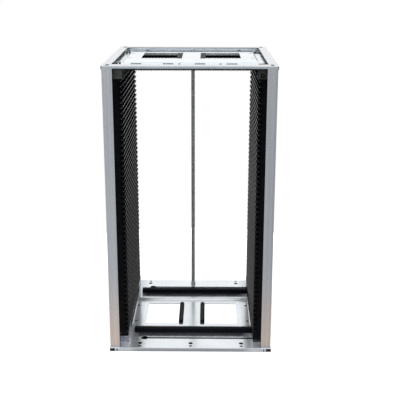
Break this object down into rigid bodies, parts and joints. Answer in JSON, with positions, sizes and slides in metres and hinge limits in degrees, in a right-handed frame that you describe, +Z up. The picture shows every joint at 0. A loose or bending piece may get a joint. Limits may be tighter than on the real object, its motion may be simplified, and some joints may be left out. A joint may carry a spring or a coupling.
{
  "type": "pcb storage rack",
  "caption": "Open board magazine: two pressed steel plates on corner posts, a fixed and a sliding black comb wall with geared adjustment, and a lift-out stop rod.",
  "frame": {"origin": "middle of the footprint, on the surface that the rack stands on", "axes": "+Z up, +X to the right across the board width, +Y from the loading side to the rear"},
  "size_m": [0.32, 0.355, 0.563],
  "materials": {
    "plate_sheet": "bright plated sheet",
    "post_aluminium": "satin anodised extrusion",
    "foot_plastic": "moulded black",
    "gear_plastic": "moulded black",
    "grip_rubber": "soft black",
    "comb_plastic": "conductive black moulding",
    "carrier_zinc": "zinc plated, faintly olive",
    "fastener_steel": "zinc plated",
    "rack_screw_steel": "blackened",
    "shaft_steel": "ground",
    "rod_steel": "dark bright-drawn"
  },
  "bodies": {
    "frame": {"bottom_plate": "plate_sheet", "top_plate": "plate_sheet", "post_front_left": "post_aluminium", "post_front_right": "post_aluminium", "post_rear_left": "post_aluminium", "post_rear_right": "post_aluminium", "foot_front_left": "foot_plastic", "foot_front_right": "foot_plastic", "foot_rear_left": "foot_plastic", "foot_rear_right": "foot_plastic", "post_screws_bottom": "fastener_steel", "post_screws_top": "fastener_steel", "gear_rack_bottom_front": "gear_plastic", "gear_rack_bottom_rear": "gear_plastic", "gear_rack_top_front": "gear_plastic", "gear_rack_top_rear": "gear_plastic", "gear_rack_screws": "rack_screw_steel", "grip_trim_bottom_left": "grip_rubber", "grip_trim_bottom_right": "grip_rubber", "grip_trim_top_left": "grip_rubber", "grip_trim_top_right": "grip_rubber", "fixed_comb_panel": "comb_plastic", "fixed_comb_ribs": "comb_plastic", "fixed_carrier_bottom": "carrier_zinc", "fixed_carrier_top": "carrier_zinc", "fixed_carrier_screws": "fastener_steel", "fixed_comb_screws": "fastener_steel", "fixed_end_covers": "comb_plastic"},
    "sliding_wall": {"sliding_comb_panel": "comb_plastic", "sliding_comb_ribs": "comb_plastic", "sliding_carrier_bottom": "carrier_zinc", "sliding_carrier_top": "carrier_zinc", "sliding_comb_screws": "fastener_steel", "sliding_end_covers": "comb_plastic", "guide_pins_bottom": "fastener_steel", "guide_pins_top": "fastener_steel", "guide_pin_nuts": "fastener_steel", "shaft_bushes_bottom": "gear_plastic", "shaft_bushes_top": "gear_plastic"},
    "bottom_pinion_shaft": {"pinion_shaft_bottom": "shaft_steel", "pinion_bottom_front": "gear_plastic", "pinion_bottom_rear": "gear_plastic", "shaft_clips_bottom": "shaft_steel"},
    "top_pinion_shaft": {"pinion_shaft_top": "shaft_steel", "pinion_top_front": "gear_plastic", "pinion_top_rear": "gear_plastic", "shaft_clips_top": "shaft_steel"},
    "stop_rod": {"stop_rod": "rod_steel", "stop_rod_collar": "rod_steel"}
  },
  "joints": [
    {"name": "wall_slide", "type": "slide", "parent": "frame", "child": "sliding_wall", "axis": [-1, 0, 0], "range_m": [0, 0.2]},
    {"name": "bottom_shaft_spin", "type": "hinge", "parent": "sliding_wall", "child": "bottom_pinion_shaft", "pos_m": [0.13275, 0, 0.021], "axis": [0, 1, 0], "range_deg": [-2885, 5]},
    {"name": "top_shaft_spin", "type": "hinge", "parent": "sliding_wall", "child": "top_pinion_shaft", "pos_m": [0.13275, 0, 0.542], "axis": [0, 1, 0], "range_deg": [-5, 2885]},
    {"name": "rod_lift", "type": "slide", "parent": "frame", "child": "stop_rod", "axis": [0, 0, 1], "range_m": [0, 0.0042]}
  ],
  "couplings": [
    {"joint": "bottom_shaft_spin", "follows": "wall_slide", "rad_per_m": -250},
    {"joint": "top_shaft_spin", "follows": "wall_slide", "rad_per_m": 250}
  ]
}
